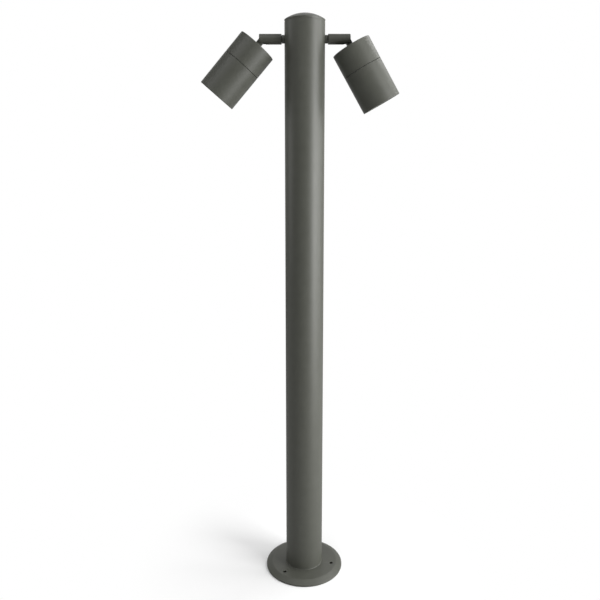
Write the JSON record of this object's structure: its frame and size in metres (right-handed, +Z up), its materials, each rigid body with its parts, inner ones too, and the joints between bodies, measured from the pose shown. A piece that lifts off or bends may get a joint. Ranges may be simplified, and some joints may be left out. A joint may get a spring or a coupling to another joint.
{
  "type": "two-head spot bollard light",
  "caption": "Slim round garden post light on a bolt-down base, with a domed cap and tilting, swivelling cylindrical spot heads on short side arms.",
  "frame": {"origin": "centre of the base plate's underside, on the ground", "axes": "+Z up along the post; +X towards the right-hand head, -X towards the left-hand head; +Y to the rear, where the pivot screws' heads are"},
  "size_m": [0.2957, 0.1268, 0.8885],
  "materials": {
    "paint": "matt powder coat, anthracite with a slight olive tint",
    "aluminium": "machined",
    "steel": "zinc plated",
    "brass": "plain",
    "rubber": "matt",
    "silicone": "translucent white, matt",
    "cable": "silicone insulation, satin",
    "nylon": "natural nylon",
    "ceramic": "unglazed white",
    "lamp": "white lamp body with clear facets",
    "glass": "clear, toughened"
  },
  "bodies": {
    "post": {"base_flange": "paint", "post_insert": "aluminium", "insert_screw_1": "steel", "insert_screw_2": "steel", "insert_screw_3": "steel", "post_tube": "paint", "cap": "paint", "cap_seal": "rubber", "terminal_plate": "steel", "plate_screw": "steel", "terminal_block": "nylon", "block_screw_1": "steel", "block_screw_2": "steel", "earth_screw": "brass", "lead_left": "cable", "neck_left": "paint", "neck_washer_left": "rubber", "neck_nut_left": "steel", "lead_right": "cable", "neck_right": "paint", "neck_washer_right": "rubber", "neck_nut_right": "steel"},
    "arm_left": {"arm_sleeve_left": "paint", "grub_screw_left": "steel", "pivot_screw_left": "steel"},
    "head_left": {"knuckle_left": "paint", "knuckle_nut_left": "steel", "rear_housing_left": "paint", "housing_seal_left": "rubber", "holder_bracket_left": "steel", "bracket_screw_left_1": "steel", "bracket_screw_left_2": "steel", "lampholder_left": "ceramic", "lamp_left": "lamp", "lamp_lead_left": "cable"},
    "front_left": {"front_sleeve_left": "paint", "lens_gasket_left": "silicone", "lens_glass_left": "glass", "lens_ring_left": "steel"},
    "arm_right": {"arm_sleeve_right": "paint", "grub_screw_right": "steel", "pivot_screw_right": "steel"},
    "head_right": {"knuckle_right": "paint", "knuckle_nut_right": "steel", "rear_housing_right": "paint", "housing_seal_right": "rubber", "holder_bracket_right": "steel", "bracket_screw_right_1": "steel", "bracket_screw_right_2": "steel", "lampholder_right": "ceramic", "lamp_right": "lamp", "lamp_lead_right": "cable"},
    "front_right": {"front_sleeve_right": "paint", "lens_gasket_right": "silicone", "lens_glass_right": "glass", "lens_ring_right": "steel"}
  },
  "joints": [
    {"name": "arm_swivel_left", "type": "hinge", "parent": "post", "child": "arm_left", "pos_m": [-0.0445, 0, 0.8525], "axis": [1, 0, 0], "range_deg": [-175, 175]},
    {"name": "head_tilt_left", "type": "hinge", "parent": "arm_left", "child": "head_left", "pos_m": [-0.0623, 0, 0.8525], "axis": [0, 1, 0], "range_deg": [-40.9, 49.1]},
    {"name": "front_draw_left", "type": "slide", "parent": "head_left", "child": "front_left", "axis": [-0.6547, 0, -0.7559], "range_m": [0, 0.012]},
    {"name": "arm_swivel_right", "type": "hinge", "parent": "post", "child": "arm_right", "pos_m": [0.0445, 0, 0.8525], "axis": [1, 0, 0], "range_deg": [-175, 175]},
    {"name": "head_tilt_right", "type": "hinge", "parent": "arm_right", "child": "head_right", "pos_m": [0.0623, 0, 0.8525], "axis": [0, -1, 0], "range_deg": [-29.9, 60.1]},
    {"name": "front_draw_right", "type": "slide", "parent": "head_right", "child": "front_right", "axis": [0.4985, 0, -0.8669], "range_m": [0, 0.012]}
  ]
}
